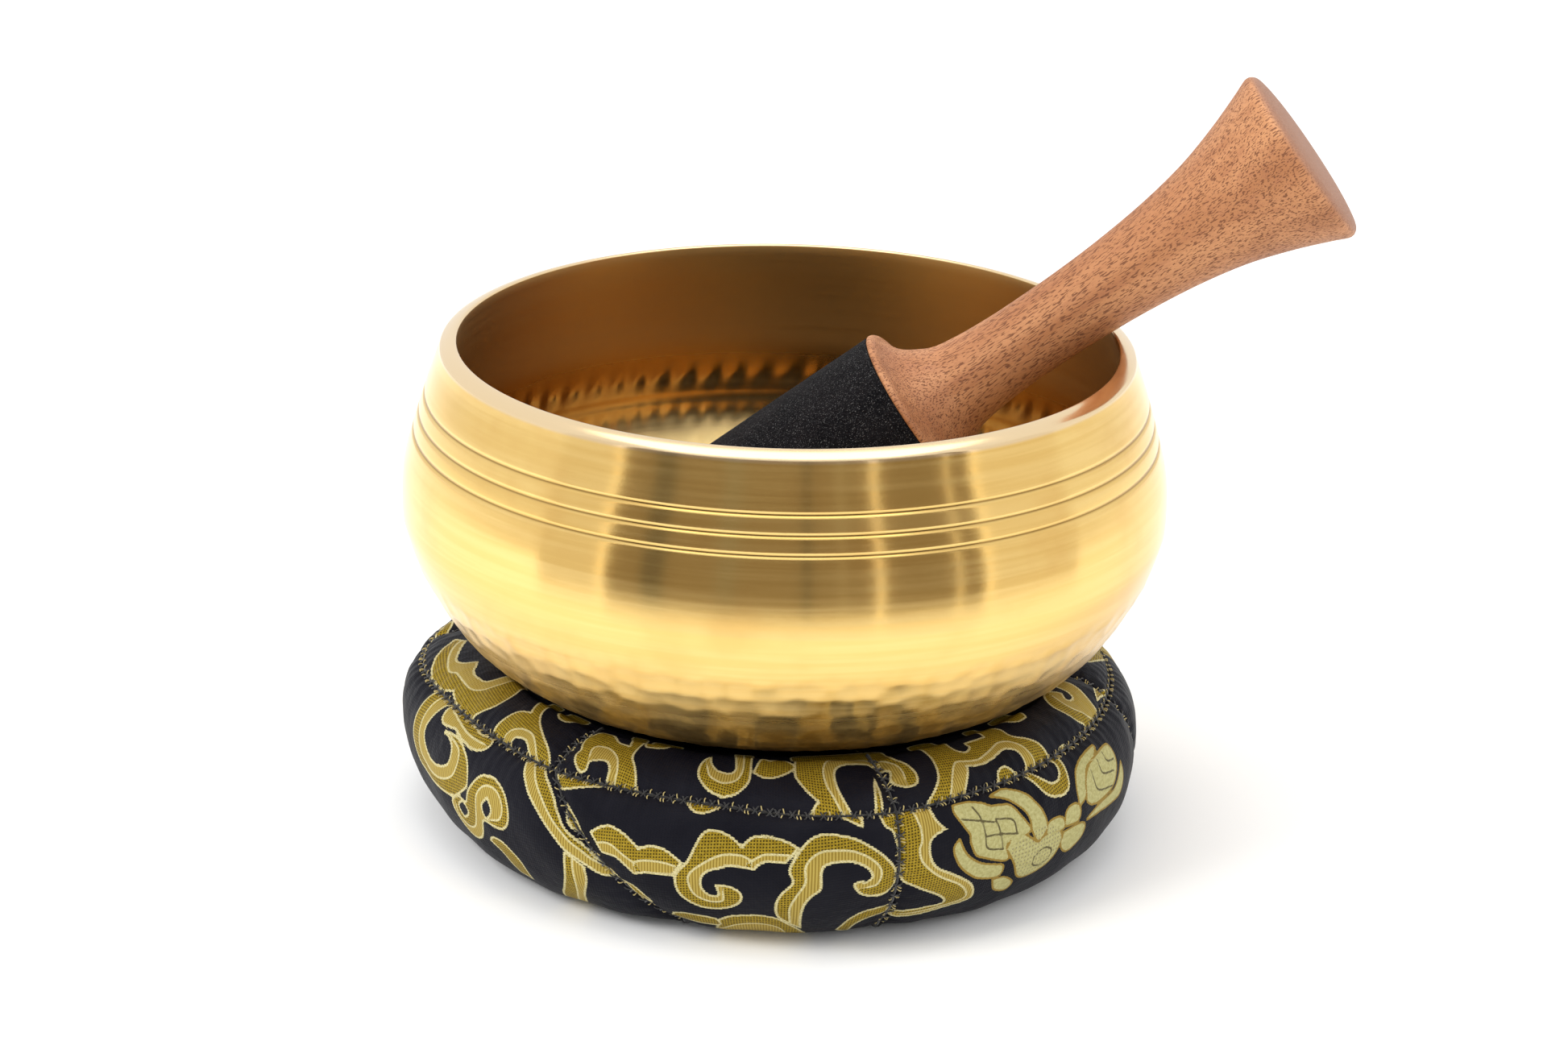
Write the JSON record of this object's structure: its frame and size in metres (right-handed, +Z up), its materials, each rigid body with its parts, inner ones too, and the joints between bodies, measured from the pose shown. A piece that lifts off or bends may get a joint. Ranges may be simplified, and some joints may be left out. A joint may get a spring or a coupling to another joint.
{
  "type": "singing bowl",
  "caption": "Hand-hammered brass singing bowl resting on a stuffed brocade ring cushion, with a turned wooden mallet, suede round its head, leaning in the bowl.",
  "frame": {"origin": "centre of the cushion's underside, on the bowl's axis, at the surface that the set stands on", "axes": "+Z up along the bowl's axis; +X towards the raised end of the mallet; -Y is the front"},
  "size_m": [0.2094, 0.1702, 0.1692],
  "materials": {
    "bowl_brass": "satin, turned, with hammer marks and a tarnished foot",
    "turned_wood": "oiled, open-pored",
    "black_suede": "napped suede",
    "brocade": "black satin with woven gold figures",
    "plain_cloth": "plain black weave",
    "sewing_thread": "black thread with lighter flecks",
    "stuffing": "soft fibre"
  },
  "bodies": {
    "cushion": {"cushion_filling": "stuffing", "base_panel": "plain_cloth", "inner_band": "plain_cloth", "side_panel_1": "brocade", "side_panel_2": "brocade", "side_panel_3": "brocade", "side_panel_4": "brocade", "side_panel_5": "brocade", "side_panel_6": "brocade", "top_panel_1": "brocade", "top_panel_2": "brocade", "top_panel_3": "brocade", "top_panel_4": "brocade", "top_panel_5": "brocade", "top_panel_6": "brocade", "top_seam_thread": "sewing_thread", "inner_seam_thread": "sewing_thread", "bottom_seam_thread": "sewing_thread", "side_seam_threads": "sewing_thread", "radial_seam_threads": "sewing_thread"},
    "bowl": {"bowl": "bowl_brass"},
    "mallet": {"mallet_handle": "turned_wood", "mallet_suede_wrap": "black_suede"}
  },
  "joints": [
    {"name": "bowl_lift", "type": "slide", "parent": "cushion", "child": "bowl", "axis": [0, 0, 1], "range_m": [0, 0.06]},
    {"name": "mallet_lift", "type": "slide", "parent": "bowl", "child": "mallet", "axis": [0, 0, 1], "range_m": [0, 0.09]}
  ]
}
